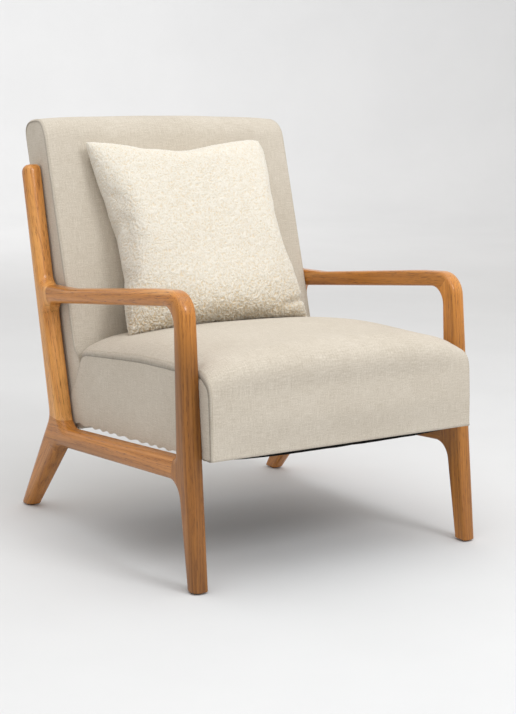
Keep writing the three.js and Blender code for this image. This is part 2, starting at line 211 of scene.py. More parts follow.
def oak():
    """Varnished oak, from the vertex attribute grain: x runs along the grain."""
    g = Graph("oak")
    grain = g.attribute("grain")
    drift = g.noise(g.vector("MULTIPLY", grain, (1.5, 12, 12)), 1.0, 2.0)
    spread = g.noise(g.vector("MULTIPLY", grain, (2.5, 55, 55)), 1.0, 2.0)
    across = g.vector("MULTIPLY", grain, (0.012, 1, 1))
    radius = g.vector("LENGTH", across, output=1)
    radius = g.math("ADD", radius, g.math("MULTIPLY", drift, 0.016))
    radius = g.math("ADD", radius, g.math("MULTIPLY", spread, 0.015))
    phase = g.math("FRACT", g.math("DIVIDE", radius, RING_PITCH))
    ring = g.ramp(phase, [(0, 0.85), (0.2, 1), (0.55, 0.85), (0.85, 0.5), (0.93, 0.44), (1, 0.8)])
    fibre = g.noise(g.vector("MULTIPLY", grain, (9, 620, 620)), 1.0, 4.0, 0.65)
    streak = g.noise(g.vector("MULTIPLY", grain, (3.0, 150, 150)), 1.0, 4.0, 0.65)
    pore_noise = g.noise(g.vector("MULTIPLY", grain, (55, 1300, 1300)), 1.0, 1.0)
    pores = g.ramp(pore_noise, [(0.56, 0), (0.65, 1)])
    pores = g.math("MULTIPLY", pores, g.ramp(phase, [(0.4, 0.35), (0.8, 1.0), (1, 0.9)]))
    tone = g.noise(g.vector("MULTIPLY", grain, (1.6, 14, 14)), 1.0, 2.0)
    # each member's board tone is added here; on the near front leg it is partly painted shade
    tone = g.math("ADD", g.math("MULTIPLY", tone, 1.1), g.attribute("board_tone_and_shade"))
    light = g.ramp(tone, [(0.25, (0.29, 0.118, 0.023)), (0.5, (0.44, 0.178, 0.031)),
                          (0.85, (0.69, 0.285, 0.054)), (1.0, (0.85, 0.44, 0.135))])
    dark = g.ramp(tone, [(0.25, (0.12, 0.040, 0.006)), (0.5, (0.22, 0.074, 0.011)),
                         (0.85, (0.44, 0.155, 0.026)), (1.0, (0.58, 0.25, 0.065))])
    shade = g.math("MULTIPLY", ring, g.ramp(streak, [(0.3, 0.3), (0.62, 1.0)]))
    shade = g.math("MULTIPLY", shade, g.ramp(fibre, [(0.25, 0.6), (0.7, 1.0)]))
    colour = g.mix(shade, dark, light)
    colour = g.mix(g.math("MULTIPLY", pores, 0.75), colour, (0.085, 0.027, 0.005))
    rough = g.ramp(fibre, [(0.2, 0.30), (0.8, 0.42)])
    height = g.math("SUBTRACT", g.math("MULTIPLY", fibre, 0.4), g.math("MULTIPLY", pores, 0.6))
    return g.finish(Base_Color=colour, Roughness=rough, Normal=g.bump(height, 0.12 * MM, 0.8),
                    Specular_IOR_Level=0.25, Coat_Weight=0.42, Coat_Roughness=0.14)


THREAD = 0.9 * MM


def woven(name, light, dark, thread=THREAD, sheen=0.12):
    """Plain weave with slubs, from the vertex attribute weave: x and y run along the threads."""
    g = Graph(name)
    place = g.attribute("weave")
    turns = g.vector("SCALE", place)
    turns.node.inputs["Scale"].default_value = math.pi / thread
    parts = g.tree.nodes.new("ShaderNodeSeparateXYZ")
    g.tree.links.new(turns, parts.inputs[0])
    warp = g.math("SINE", parts.outputs[0])
    weft = g.math("SINE", parts.outputs[1])
    over = g.math("GREATER_THAN", g.math("MULTIPLY", warp, weft), 0.0)
    up, down = g.math("ABSOLUTE", warp), g.math("ABSOLUTE", weft)
    height = g.math("ADD", g.math("MULTIPLY", up, over),
                    g.math("MULTIPLY", down, g.math("SUBTRACT", 1.0, over)))
    slub_a = g.noise(g.vector("MULTIPLY", place, (38, 1000, 1)), 1.0, 3.0, 0.6)
    slub_b = g.noise(g.vector("MULTIPLY", place, (1000, 38, 1)), 1.0, 3.0, 0.6)
    slubs = g.math("MULTIPLY", g.math("ADD", slub_a, slub_b), 0.5)
    heather = g.noise(g.vector("MULTIPLY", place, (420, 420, 1)), 1.0, 3.0, 0.7)
    mottle = g.noise(place, 9.0, 3.0)
    tone = g.math("ADD", g.math("MULTIPLY", slubs, 0.62), g.math("MULTIPLY", heather, 0.38))
    tone = g.math("ADD", tone, g.math("MULTIPLY", g.math("SUBTRACT", mottle, 0.5), 0.12))
    colour = g.mix(g.ramp(tone, [(0.38, 0.0), (0.62, 1.0)]), dark, light)
    # painted shade: the low places between crossing threads are darkened
    colour = g.mix(g.math("MULTIPLY", g.math("SUBTRACT", 1.0, height), 0.16), colour, dark,
                   "MULTIPLY")
    # painted shade: dark brown along the seams, for the shadow in their grooves and creases
    seam_and_shade = g.math("MULTIPLY", g.attribute("seam_and_shade"), 0.7)
    colour = g.mix(seam_and_shade, colour, (0.10, 0.08, 0.06))
    relief = g.bump(g.math("ADD", height, g.math("MULTIPLY", slubs, 1.4)), 0.22 * MM, 0.55)
    return g.finish(Base_Color=colour, Roughness=0.92, Normal=relief,
                    Specular_IOR_Level=0.2, Sheen_Weight=sheen, Sheen_Roughness=0.55)


def boucle():
    """Looped yarn: tight curls, with painted shade that makes them light on top and warmer in the
    hollows.
    """
    g = Graph("boucle")
    place = g.attribute("weave")
    bent = g.vector("ADD", place, g.noise(place, 90.0, 2.0))
    loops = g.add("ShaderNodeTexVoronoi", {"Vector": bent, "Scale": 430.0, "Randomness": 1.0},
                  feature="F1")
    curls = g.noise(place, 520.0, 3.0, 0.62)
    height = g.math("SUBTRACT", g.math("MULTIPLY", curls, 1.1), loops)
    # painted shade: loop height and the depth attribute make the colour light on the loops' tops,
    # darker and warmer low down
    painted_hollow_shade = g.attribute("depth")
    tone = g.math("ADD", g.math("MULTIPLY", height, 0.35), g.math("MULTIPLY", painted_hollow_shade, 0.8))
    colour = g.ramp(tone, [(0.0, (0.74, 0.59, 0.38)), (0.38, (0.80, 0.74, 0.63)),
                           (0.75, (0.86, 0.82, 0.735))])
    return g.finish(Base_Color=colour, Roughness=0.95, Normal=g.bump(height, 0.7 * MM, 0.6),
                    Specular_IOR_Level=0.12, Sheen_Weight=0.35, Sheen_Roughness=0.6)


def plain(name, light, dark, scale, rough, metallic=0.0, bump=0.1, stretch=(1, 1, 1)):
    """Material of a hidden or small piece: two tones, broken up by grain of the given scale."""
    g = Graph(name)
    place = g.add("ShaderNodeTexCoord", output=3)
    grain = g.noise(g.vector("MULTIPLY", place, stretch), scale, 5.0, 0.6)
    colour = g.mix(g.ramp(grain, [(0.35, 0.0), (0.65, 1.0)]), dark, light)
    roughness = g.ramp(grain, [(0.3, max(rough - 0.1, 0)), (0.7, rough)])
    return g.finish(Base_Color=colour, Roughness=roughness, Metallic=metallic,
                    Normal=g.bump(grain, bump * MM, 0.6))


# ------------------------------ oak side frames

SIDES = ("left", "right")
MEMBERS = ("armrest", "back_post", "side_rail", "front_leg", "rear_leg")
JOINTS = {"corner": ("armrest", "front_leg"), "elbow": ("armrest", "back_post"),
          "knuckle": ("back_post", "side_rail"), "shoulder": ("side_rail", "front_leg"),
          "hip": ("side_rail", "rear_leg")}
JOINT_REACH = 62 * MM          # how far a joint's plane cuts the wood round its middle
SKIN_VOXEL = 1.8 * MM
SKIN_PASSES = 7                # smoothing passes, which melt the voxels' steps away
SKIN_REGAIN = 0.45 * MM        # what the smoothing takes off, put back
PITH_DISTANCE = 0.16           # from a board's middle to the middle of the tree
BOARD_SHIFT = 1.7              # along the grain, for each unit of a board's seed
BOARD_TURN = 0.9               # round the middle of the tree, in radians, likewise
# How pale each member's board is: oak differs from board to board, and the near (right) front leg
# is also darkened as painted shade.
BOARD_TONES_AND_SHADE = {
    "right": dict(armrest=0.20, back_post=0.36, side_rail=0.06, front_leg=-0.20, rear_leg=0.06),
    "left": dict(armrest=0.28, back_post=0.20, side_rail=0.12, front_leg=0.12, rear_leg=0.15),
}
TONE_BLEND = 150 * MM          # how far below its top a front leg starts to match the armrest, where its painted shade fades out


def long_axis(co):
    """Middle and longest direction of a cloud of points."""
    middle = (co.min(0) + co.max(0)) / 2
    centred = co - co.mean(0)
    return middle, np.linalg.svd(centred, full_matrices=False)[2][0]


def unique_points(node):
    return np.unique(np.round(coordinates(frame["nodes"][node].data), 6), axis=0)


def largest_shell(bm):
    """Deletes every loose part of a bmesh but the one with the most faces."""
    bm.faces.ensure_lookup_table()
    seen = np.zeros(len(bm.faces), bool)
    shells = []
    for start in bm.faces:
        if seen[start.index]:
            continue
        stack, shell = [start], []
        seen[start.index] = True
        while stack:
            face = stack.pop()
            shell.append(face)
            for edge in face.edges:
                for other in edge.link_faces:
                    if not seen[other.index]:
                        seen[other.index] = True
                        stack.append(other)
        shells.append(shell)
    keep = max(shells, key=len)
    rest = [f for shell in shells if shell is not keep for f in shell]
    bmesh.ops.delete(bm, geom=rest, context="FACES")


def side_frame_surface(side):
    """One smooth skin over a whole side frame."""
    bm = bmesh.new()
    for member in MEMBERS:
        bm.from_mesh(frame["nodes"][f"{side}_{member}"].data)
    bmesh.ops.remove_doubles(bm, verts=bm.verts, dist=0.01 * MM)
    obj = mesh_object(f"{side}_frame", bm)
    modifier(obj, "REMESH", mode="VOXEL", voxel_size=SKIN_VOXEL)
    modifier(obj, "SMOOTH", factor=0.5, iterations=SKIN_PASSES)
    modifier(obj, "DISPLACE", strength=SKIN_REGAIN, mid_level=0)
    apply_modifiers(obj)
    bm = bmesh.new()
    bm.from_mesh(obj.data)
    bpy.data.objects.remove(obj)
    largest_shell(bm)
    return bm


def cut_at_joints(bm, side):
    """Adds edges along each joint plane. Returns the planes as (middle, normal, two members)."""
    planes = []
    for joint, pair in JOINTS.items():
        middle, normal = long_axis(unique_points(f"{side}_{joint}_tenon"))
        point = Vector(middle)
        near = [f for f in bm.faces if (f.calc_center_median() - point).length < JOINT_REACH]
        edges = {e for f in near for e in f.edges}
        verts = {v for f in near for v in f.verts}
        bmesh.ops.bisect_plane(bm, geom=[*near, *edges, *verts], dist=1e-6,
                               plane_co=point, plane_no=Vector(normal))
        first = sum(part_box(f"{side}_{pair[0]}"), Vector()) / 2
        if (first - point).dot(Vector(normal)) < 0:
            normal = -normal
        planes.append((point, Vector(normal), pair))
    return planes


def member_of_faces(bm, side, planes):
    """Name of the member that each face belongs to."""
    verts, polygons, owner = [], [], []
    for member in MEMBERS:
        mesh = frame["nodes"][f"{side}_{member}"].data
        base = len(verts)
        verts.extend(v.co.copy() for v in mesh.vertices)
        for polygon in mesh.polygons:
            polygons.append([base + i for i in polygon.vertices])
            owner.append(member)
    tree = BVHTree.FromPolygons(verts, polygons)
    names = []
    for face in bm.faces:
        centre = face.calc_center_median()
        name = owner[tree.find_nearest(centre)[2]]
        for point, normal, pair in planes:
            if name in pair and (centre - point).length < JOINT_REACH:
                name = pair[0] if (centre - point).dot(normal) > 0 else pair[1]
        names.append(name)
    return names


def grain_vectors(co, seed):
    """Coordinates along and across a member, shifted so that no two members match."""
    middle, along = long_axis(co)
    across = np.cross(along, (1, 0, 0))
    across /= np.linalg.norm(across)
    third = np.cross(along, across)
    local = (co - middle) @ np.array([along, across, third]).T
    turn = BOARD_TURN * seed
    return local + np.array([BOARD_SHIFT * seed, PITH_DISTANCE * math.cos(turn),
                             PITH_DISTANCE * math.sin(turn)])


def board_tones_and_shade(side, member, co):
    """Tone at each point of a member. A front leg takes up the armrest's tone towards its top, so
    the painted shade on the near front leg fades out there.
    """
    tone = BOARD_TONES_AND_SHADE[side][member]
    if member != "front_leg":
        return np.full(len(co), tone)
    top = co[:, 2].max()
    share = smoothstep(co[:, 2], top - TONE_BLEND, top - 0.1 * TONE_BLEND)
    return tone + (BOARD_TONES_AND_SHADE[side]["armrest"] - tone) * share


def build_side_frame(side, material, seed):
    bm = side_frame_surface(side)
    planes = cut_at_joints(bm, side)
    bm.faces.ensure_lookup_table()
    names = member_of_faces(bm, side, planes)
    for number, member in enumerate(MEMBERS):
        part = bm.copy()
        part.faces.ensure_lookup_table()
        others = [f for f, name in zip(part.faces, names) if name != member]
        bmesh.ops.delete(part, geom=others, context="FACES")
        open_edges = [e for e in part.edges if e.is_boundary]
        bmesh.ops.holes_fill(part, edges=open_edges, sides=0)
        obj = mesh_object(f"{side}_{member}_wood", part)
        co = coordinates(obj.data)
        set_vectors(obj.data, "grain", grain_vectors(co, seed + 1.3 * number))
        tones = board_tones_and_shade(side, member, co)
        set_vectors(obj.data, "board_tone_and_shade", np.repeat(tones[:, None], 3, axis=1))
        finished(obj, "chair", material, f"{side}_{member}", slot="oak")
    bm.free()


# ------------------------------ upholstery profiles


def convex_outline(points):
    """Corners of the convex hull of (y, z) points, anticlockwise."""
    points = sorted(set(map(tuple, np.round(points, 6))))

    def half(run):
        chain = []
        for p in run:
            while len(chain) > 1:
                (ay, az), (by, bz) = chain[-2], chain[-1]
                if (by - ay) * (p[1] - az) - (bz - az) * (p[0] - ay) > 0:
                    break
                chain.pop()
            chain.append(p)
        return chain[:-1]

    return np.array(half(points) + half(points[::-1]))


FACET_PASSES = 6


def resample(points, step):
    """Points at even spacing along a chain, with the facets of its curves smoothed out."""
    lengths = np.r_[0, np.cumsum(np.linalg.norm(np.diff(points, axis=0), axis=1))]
    count = int(round(lengths[-1] / step)) + 1
    at = np.linspace(0, lengths[-1], count)
    out = np.stack([np.interp(at, lengths, points[:, k]) for k in range(2)], 1)
    for _ in range(FACET_PASSES):
        out[1:-1] = (out[:-2] + 2 * out[1:-1] + out[2:]) / 4
    return out


class Profile:
    """Side profile of a seat or back, from the bottom front corner over the top to the rear."""

    def __init__(self, node, step=5 * MM):
        hull = convex_outline(coordinates(frame["nodes"][node].data)[:, 1:])
        start = int(np.argmin(hull[:, 0] + 0.3 * hull[:, 1]))
        ring = np.roll(hull, -start, axis=0)[::-1]
        ring = np.roll(ring, 1, axis=0)
        end = int(np.argmax(ring[:, 0] - 2 * ring[:, 1]))
        self.points = resample(ring[: end + 1], step)
        self.step = step
        tangent = np.gradient(self.points, axis=0)
        tangent /= np.linalg.norm(tangent, axis=1)[:, None]
        self.normals = np.stack([-tangent[:, 1], tangent[:, 0]], 1)
        self.lengths = np.arange(len(self.points)) * step

    def moved(self, offset):
        """The profile pushed outward by offset, one number for each point."""
        return self.points + self.normals * offset[:, None]


def across_columns(half_width, fine=0.8 * MM, coarse=8 * MM):
    """x positions across a panel, close together at the two seams."""
    gaps, total = [], 0.0
    while total < half_width:
        gap = min(fine * 1.22 ** len(gaps), coarse)
        gaps.append(gap)
        total += gap
    inward = np.cumsum(gaps) * half_width / total
    left = -half_width + np.r_[0, inward[:-1]]
    return np.r_[left, 0, -left[::-1]]


def lumps(y, z, x, size, seed):
    """Smooth unevenness between -1 and 1."""
    return noise.noise(Vector((x / size + seed, y / size, z / size - seed)))


SEAM_DEPTH = 3.0 * MM
SEAM_WIDTH = 1.7 * MM
SEAM_DARK = 1.5 * MM           # how far from a seam its painted shade reaches, on a wrapped panel
END_SEAM_DARK = 1.3 * MM       # and on a side panel
WELT_RISE = 1.1 * MM           # ridge that the seam allowance makes beside a seam
WELT_PLACE = 4 * MM
WELT_WIDTH = 2.2 * MM
CROWN_POWER = 2.6              # the higher, the nearer to the seams the crown keeps its height
UNEVEN_RISE = 1.0 * MM
PUCKER_RISE = 0.7 * MM
PUCKER_REACH = 10 * MM         # how far from a seam its puckers run


def seam_groove(distance):
    """How deep the fabric turns in beside a seam."""
    return -SEAM_DEPTH * np.exp(-((distance / SEAM_WIDTH) ** 2))


def wrapped_panel(name, profile, half_width, shape):
    """Fabric that runs over the front and top, swelling between the seams at its two edges."""
    xs = across_columns(half_width)
    base = profile.moved(-shape["inset"])
    rows, cols = len(base), len(xs)
    distance = half_width - np.abs(xs)
    square = (1 - (np.abs(xs) / half_width) ** CROWN_POWER) ** 0.5
    groove = seam_groove(distance)
    welt = WELT_RISE * np.exp(-(((distance - WELT_PLACE) / WELT_WIDTH) ** 2))
    points = np.empty((rows, cols, 3))
    for i in range(rows):
        push = shape["push"][i]
        flare = shape["flare"][i]
        for j in range(cols):
            fold = lumps(0, profile.lengths[i], 0, size=8 * MM, seed=3.0)
            pucker = math.exp(-distance[j] / PUCKER_REACH) * fold
            uneven = lumps(base[i, 0], base[i, 1], xs[j], size=90 * MM, seed=1.0) * square[j]
            crown = shape["crown"][i] * square[j] + UNEVEN_RISE * uneven
            skin = (groove[j] + welt[j]) * shape["seam_and_shade"][i] + PUCKER_RISE * pucker
            y, z = base[i] + push * crown + profile.normals[i] * skin
            points[i, j] = (xs[j] * (1 + flare / half_width), y, z)
    weave = np.zeros_like(points)
    weave[..., 0], weave[..., 1] = xs[None, :], profile.lengths[:, None]
    # painted shade beside each seam, which the material darkens
    dark = np.exp(-((distance / SEAM_DARK) ** 2))
    seam_and_shade = np.repeat((shape["seam_and_shade"][:, None] * dark[None, :])[..., None], 3, axis=2)
    points, weave, seam_and_shade = add_hems(points, weave, seam_and_shade, shape["hem"])
    obj = grid_object(name, points)
    set_vectors(obj.data, "weave", weave)
    set_vectors(obj.data, "seam_and_shade", seam_and_shade)
    return obj


def add_hems(points, weave, seam_and_shade, hem):
    """Turns both ends of a panel under the frame by the depth hem."""
    bottom = points[-1] - points[0]
    bottom /= np.linalg.norm(bottom, axis=1)[:, None]
    up = np.array([0, -bottom[0, 2], bottom[0, 1]])
    steps = np.array([0.12, 0.35, 0.65, 1.0])[:, None, None] * hem
    rise = np.array([0.0, 0.5, 1.0, 1.2])[:, None, None] * MM * up
    front = points[0] + steps * bottom + rise
    rear = points[-1] - steps * bottom + rise
    run = np.array([0, 1.0, 0])
    return (np.concatenate([front[::-1], points, rear]),
            np.concatenate([(weave[0] - steps * run)[::-1], weave, weave[-1] + steps * run]),
            np.concatenate([seam_and_shade[[0] * 4], seam_and_shade, seam_and_shade[[-1] * 4]]))


PUCKER_PITCH = 6.0 * MM        # length along the stapled edge for each radian of its wave
STAPLED_REACH = 20 * MM        # how far up from the stapled edge its waves run
STAPLED_DENT = 0.8 * MM
PANEL_REACH = 0.11             # about the distance from a side panel's rim to its middle
PANEL_LUMPS = 0.5 * MM
SINK_DEPTH = 0.9 * MM          # how much deeper the rear of a seat's side cover lies
SINK_FROM, SINK_TO = 0.09, 0.17            # y between which it gets there
TURNED_EDGE = 14 * MM          # how deep a side cover's free rear edge is turned in


def end_panel(name, profile, half_width, sign, shape):
    """Flat side panel, sewn to the wrapped panel all round and stapled along the bottom."""
    rim = profile.moved(-shape["inset"])
    flares, seams = shape["flare"], shape["seam_and_shade"]
    turned = np.zeros(len(rim))
    if shape["tail"] is not None:
        keep = profile.lengths < profile.lengths[shape["tail_start"]]
        tail = resample(np.vstack([rim[keep][-1], shape["tail"]]), profile.step)[1:]
        rim = np.vstack([rim[keep], tail])
        flares = np.r_[flares[keep], np.zeros(len(tail))]
        # down the tail the seam's groove and its painted shade fade out; there the painted shade
        # stands for a crease's shadow
        seams = np.r_[seams[keep], np.linspace(0.6, 0.0, len(tail))]
        turned = smoothstep(np.arange(len(rim)) - keep.sum(), -2, 2)
    bottom = resample(np.array([rim[-1], rim[0]]), profile.step)[1:-1]
    loop = np.concatenate([rim, bottom])
    flares = np.r_[flares, np.interp(np.arange(len(bottom)), [0, len(bottom)], [0, flares[0]])]
    seams = np.r_[seams, np.zeros(len(bottom))]
    turned = np.r_[turned, np.zeros(len(bottom))] * TURNED_EDGE
    centre = np.array([loop[:, 0].mean(), loop[:, 1].mean()])
    steps = np.r_[0, 0.6, 1.3, 2.2, 3.4, 5, 8, 12] * MM
    shares = np.r_[0, steps / PANEL_REACH, np.linspace(0.16, 0.97, 16)]
    start, end = rim[0], rim[-1]
    along = (end - start) / np.linalg.norm(end - start)
    up = np.array([-along[1], along[0]])
    seen = smoothstep((loop - start) @ up, 0, 12 * MM) * seams
    points = np.empty((len(shares), len(loop), 3))
    seam_and_shade = np.zeros_like(points)
    for i, share in enumerate(shares):
        for j, corner in enumerate(loop):
            flat = corner + (centre - corner) * share
            height = (flat - start) @ up
            run = (flat - start) @ along
            near = math.exp(-max(height, 0) / STAPLED_REACH) * shape["puckers"]
            wave = math.sin(run / PUCKER_PITCH + 1.3 * math.sin(run / 0.031))
            depth = seam_groove(share * PANEL_REACH) * 0.8 * seen[j]
            depth += PANEL_LUMPS * (lumps(flat[0], flat[1], 0, size=50 * MM, seed=7.0) - 1)
            depth -= near * STAPLED_DENT * (1 + wave)
            depth -= SINK_DEPTH * shape["sink"](flat)
            y, z = flat + up * near * (1.2 + 1.6 * wave) * MM
            flare = flares[j] * (1 - share) ** 4
            points[i, j] = (sign * (half_width + flare + depth), y, z)
            # painted shade beside the seam
            seam_and_shade[i, j] = seen[j] * math.exp(-((share * PANEL_REACH / END_SEAM_DARK) ** 2))
    points[0, :, 0] -= sign * (0.5 * MM + turned)
    weave = np.stack([points[..., 1], points[..., 2], np.zeros(points.shape[:2])], -1)
    obj = grid_object(name, points, closed=True)
    set_vectors(obj.data, "weave", weave)
    set_vectors(obj.data, "seam_and_shade", seam_and_shade)
    bm = bmesh.new()
    bm.from_mesh(obj.data)
    inner = [e for e in bm.edges if e.is_boundary
             and all((v.co.yz - Vector(centre)).length < 0.05 for v in e.verts)]
    bmesh.ops.holes_fill(bm, edges=inner, sides=0)
    if sign > 0:
        bmesh.ops.reverse_faces(bm, faces=bm.faces)
    bm.to_mesh(obj.data)
    bm.free()
    return obj


def thicken(obj, thickness=1.4 * MM):
    modifier(obj, "SOLIDIFY", thickness=thickness, offset=-1)
    return apply_modifiers(obj)


# ------------------------------ stitching


STITCH_INSET = 4.2 * MM        # from the seam to its topstitching


def stitch_row(name, path, material, pitch=4.4 * MM, length=3.0 * MM, radius=0.45 * MM):
    """A run of short threads along path, each dipping into the fabric at its ends."""
    lengths = np.r_[0, np.cumsum(np.linalg.norm(np.diff(path, axis=0), axis=1))]
    middle = Vector(path.mean(0))
    bm = bmesh.new()
    for start in np.arange(pitch, lengths[-1] - pitch, pitch):
        ends = [Vector([np.interp(s, lengths, path[:, k]) for k in range(3)])
                for s in (start, start + length)]
        along = (ends[1] - ends[0]).normalized()
        side = Vector((1, 0, 0))
        outward = along.cross(side).normalized()
        if outward.dot(ends[0] - middle) < 0:
            outward = -outward
        rings = []
        for share, size, lift in ((0, 0.3, -0.3), (0.25, 1, 0.45), (0.75, 1, 0.45), (1, 0.3, -0.3)):
            at = ends[0].lerp(ends[1], share) + outward * lift * radius
            rings.append([bm.verts.new(at + (side * math.cos(a) + outward * math.sin(a))
                                       * radius * size)
                          for a in np.linspace(0, 2 * math.pi, 6, endpoint=False)])
        for first, second in zip(rings, rings[1:]):
            for k in range(6):
                bm.faces.new((first[k], first[(k + 1) % 6], second[(k + 1) % 6], second[k]))
        bm.faces.new(rings[0][::-1])
        bm.faces.new(rings[-1])
    bmesh.ops.recalc_face_normals(bm, faces=bm.faces)
    obj = mesh_object(name, bm)
    set_vectors(obj.data, "weave", coordinates(obj.data)[:, [1, 2, 0]])
    finished(obj, "chair", material, slot="linen")


# ------------------------------ seat and back


def build_upholstery(part, linen, thread, shaping, hidden):
    """Seat or back: wrapped panel, two side panels and their topstitching."""
    profile = Profile(f"{part}_left_side_panel")
    half_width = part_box(f"{part}_left_side_panel")[1].x
    shape = shaping(profile)
    wrap = f"{part}_top_panel" if part == "seat" else f"{part}_front_panel"
    main = wrapped_panel(f"{part}_cover", profile, half_width, shape)
    finished(thicken(main), "chair", linen, wrap, *hidden, slot="linen")
    tree = BVHTree.FromObject(main, bpy.context.evaluated_depsgraph_get())
    for side, sign in zip(SIDES, (1, -1)):
        panel = end_panel(f"{part}_{side}_side_cover", profile, half_width, sign, shape)
        finished(thicken(panel), "chair", linen, f"{part}_{side}_side_panel", slot="linen")
        inset = profile.moved(-shape["inset"] + 30 * MM)
        rows = []
        ways = list(zip(inset, profile.normals, shape["flare"]))[:shape["tail_start"]]
        for (y, z), normal, flare in ways:
            x = sign * (half_width + flare - STITCH_INSET)
            spot = tree.ray_cast(Vector((x, y, z)), Vector((0, -normal[0], -normal[1])), 0.1)[0]
            if spot is not None:
                rows.append(spot[:])
        stitch_row(f"{part}_{side}_topstitch", np.array(rows), thread)


SEAT_CROWN = {"front": 11 * MM, "top": 33 * MM, "middle": 12 * MM, "rear": 46 * MM}
SEAT_PEAK, SEAT_SPREAD = -0.12, 0.15       # y of the seat's highest place, and its reach
SEAT_FRONT_OUT = 6 * MM        # how far the front stands out past the CAD outline
SEAT_TOP_IN = 8.5 * MM         # how far the seams along the top lie below the CAD outline
TAIL_FOOT = np.array([0.556, -0.0368])     # rear foot of the side cover, from its front foot
SEAT_FLARE = 5.5 * MM          # how far the front corners swell sideways
SEAT_TUCK = 9 * MM             # how far the rear part is drawn in between the side covers
BACK_CROWN = {"front": 17 * MM, "top": 9 * MM, "rear": 5 * MM}
BACK_FLARE = 4 * MM
BACK_TUCK = 3 * MM             # how far the back is drawn in between the seat's side covers
DUST_DROP = 7.2 * MM           # how far the dust cloth hangs between its two sides
DUST_SAG = 5 * MM              # and how much further in its middle


def seat_shape(profile):
    """The seat swells most on top, less in front and not at all underneath."""
    facing, rising = profile.normals[:, 0], profile.normals[:, 1]
    top = smoothstep(rising, 0.1, 0.9)
    low = smoothstep(profile.lengths, 0, 0.07)
    rear = facing > 0.3
    middle = np.exp(-(((profile.points[:, 0] - SEAT_PEAK) / SEAT_SPREAD) ** 2))
    crown = (SEAT_CROWN["front"] + (SEAT_CROWN["top"] + SEAT_CROWN["middle"] * middle) * top) * low
    crown[rear] = SEAT_CROWN["rear"] * (1 - smoothstep(facing[rear], 0.8, 0.98))
    push = profile.normals.copy()
    push[:, 0] = np.where(rear, 0.3, push[:, 0])
    push /= np.linalg.norm(push, axis=1)[:, None]
    front = smoothstep(-facing, 0.3, 0.9)
    inset = SEAT_TOP_IN * smoothstep(rising, 0.2, 0.95) * smoothstep(profile.lengths, 0.06, 0.12)
    tail_start = int(np.argmax(facing > 0.45))
    turn = profile.points[tail_start]
    foot = profile.points[0] + TAIL_FOOT
    tail = np.array([turn + (0.006, -0.012), turn + (0.025, -0.055), turn + (0.052, -0.095),
                     foot + (0, 0.03), foot])
    hidden = smoothstep(np.arange(len(crown)) - tail_start, 0, 5)
    return {"crown": crown, "push": push, "inset": inset - SEAT_FRONT_OUT * front,
            "flare": SEAT_FLARE * front - SEAT_TUCK * hidden, "hem": 30 * MM, "puckers": 1.0,
            "seam_and_shade": 0.65 + 0.35 * front, "tail": tail, "tail_start": tail_start,
            "sink": lambda at: float(smoothstep(at[0], SINK_FROM, SINK_TO))}


def back_shape(profile):
    facing, rising = profile.normals[:, 0], profile.normals[:, 1]
    front = smoothstep(-facing, 0.2, 0.95)
    top = smoothstep(rising, 0.5, 1.0)
    rear = smoothstep(facing, 0.3, 0.95)
    low = smoothstep(profile.lengths, 0.14, 0.28)
    end = smoothstep(profile.lengths[-1] - profile.lengths, 0, 0.12)
    crown = BACK_CROWN["front"] * front * low + BACK_CROWN["top"] * top + BACK_CROWN["rear"] * rear
    crown *= np.maximum(end, front)
    above = smoothstep(profile.lengths, 0.13, 0.16)
    return {"crown": crown, "push": profile.normals, "inset": np.zeros(len(crown)),
            "flare": BACK_FLARE * front * above - BACK_TUCK * (1 - above), "hem": 20 * MM,
            "seam_and_shade": 0.5 * above, "puckers": 0.3, "tail": None,
            "tail_start": len(crown), "sink": lambda at: 0.0}


def dust_cover(material):
    """Black cloth stapled under the seat, which sags a little between its edges."""
    low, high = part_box("seat_dust_cover")
    rows, cols = 40, 48
    ys = np.linspace(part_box("seat_top_panel")[0].y + 5 * MM, high.y, rows)
    xs = np.linspace(low.x + 12 * MM, high.x - 12 * MM, cols)
    slope = (high.z - low.z) / (high.y - low.y)
    points = np.empty((rows, cols, 3))
    for i, y in enumerate(ys):
        for j, x in enumerate(xs):
            u, v = 2 * i / (rows - 1) - 1, 2 * j / (cols - 1) - 1
            sag = DUST_DROP * (1 - v ** 4) + DUST_SAG * (1 - u * u) * (1 - v * v)
            z = high.z - (y - low.y) * slope - 1.0 * MM - sag
            points[i, j] = (x, y, z + 0.8 * MM * lumps(y, 0, x, 0.03, 5.0))
    obj = grid_object("dust_cloth", points)
    set_vectors(obj.data, "weave", points)
    thicken(obj, 0.8 * MM)
    finished(obj, "chair", material, "seat_dust_cover", slot="dust_cloth")


# ------------------------------ scatter cushion

CUSHION_FLAT = 0.445           # side of the flat cover, before it is filled
CUSHION_CELLS = 84
CUSHION_WIDTH = 0.412          # across the filled cushion
CUSHION_LOFT = 22 * MM         # half the thickness that the cloth starts from
CREASE_PASSES = 26             # smoothing passes, which iron out the cloth's creases
LOOP_RISE = 0.45 * MM
SHAGGY_RISE = 0.75 * MM        # what the loops gain along the lower edge
LOOP_SCALE, FINE_SCALE = 230, 380          # of the noise that makes the loops


